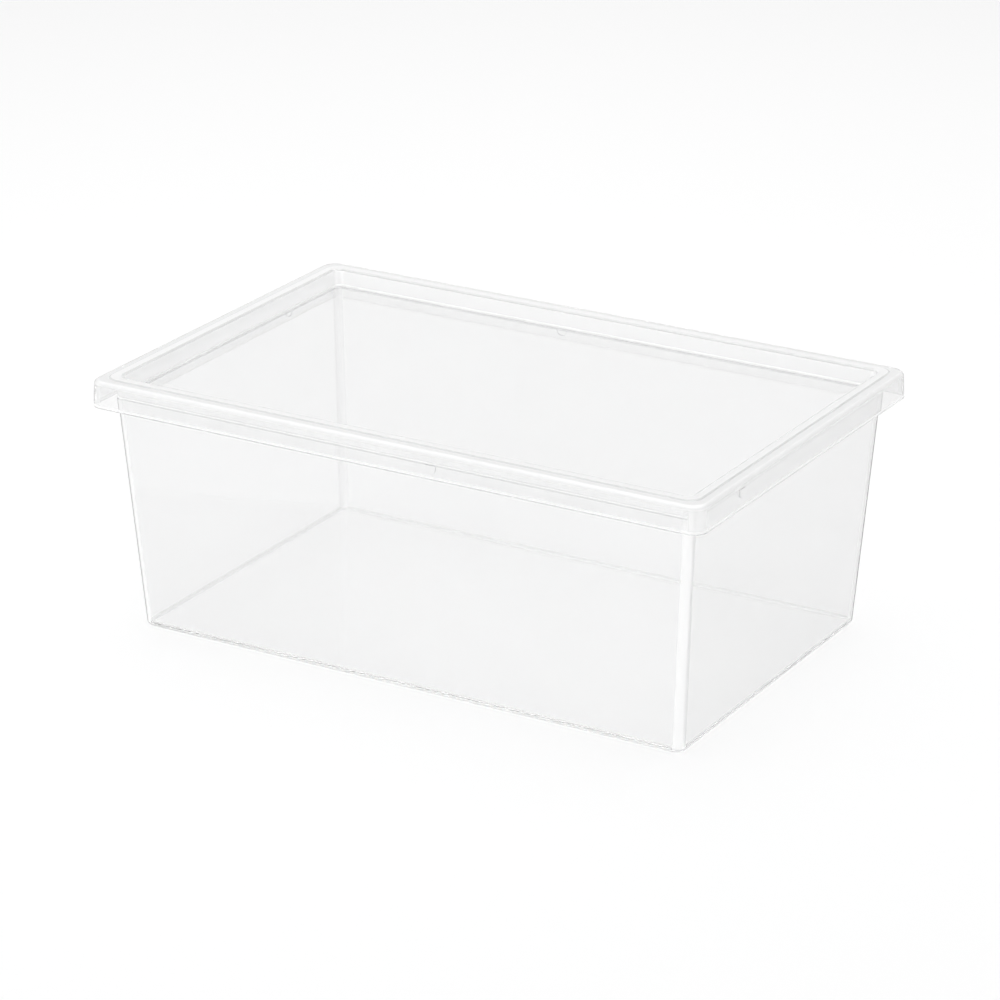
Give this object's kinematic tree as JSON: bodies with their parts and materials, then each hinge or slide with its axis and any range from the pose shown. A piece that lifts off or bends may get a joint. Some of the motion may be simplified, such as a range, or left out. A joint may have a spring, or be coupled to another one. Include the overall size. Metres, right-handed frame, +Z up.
{
  "type": "shoe box",
  "caption": "Clear, drafted rectangular storage box for shoes, with an overhanging lift-off lid whose raised rim seats the base of the next box.",
  "frame": {"origin": "centre of the tub's flat underside, which is the bottom centre of the whole box", "axes": "+Z up through the lid, +X along the long side, +Y along the short side"},
  "size_m": [0.34, 0.22, 0.1335],
  "materials": {
    "tub_plastic": "clear, colourless, polished",
    "lid_plastic": "clear, colourless, polished"
  },
  "bodies": {
    "tub": {"tub": "tub_plastic"},
    "lid": {"lid": "lid_plastic"}
  },
  "joints": [
    {"name": "lid_lift", "type": "slide", "parent": "tub", "child": "lid", "axis": [0, 0, 1], "range_m": [0, 0.06]}
  ]
}
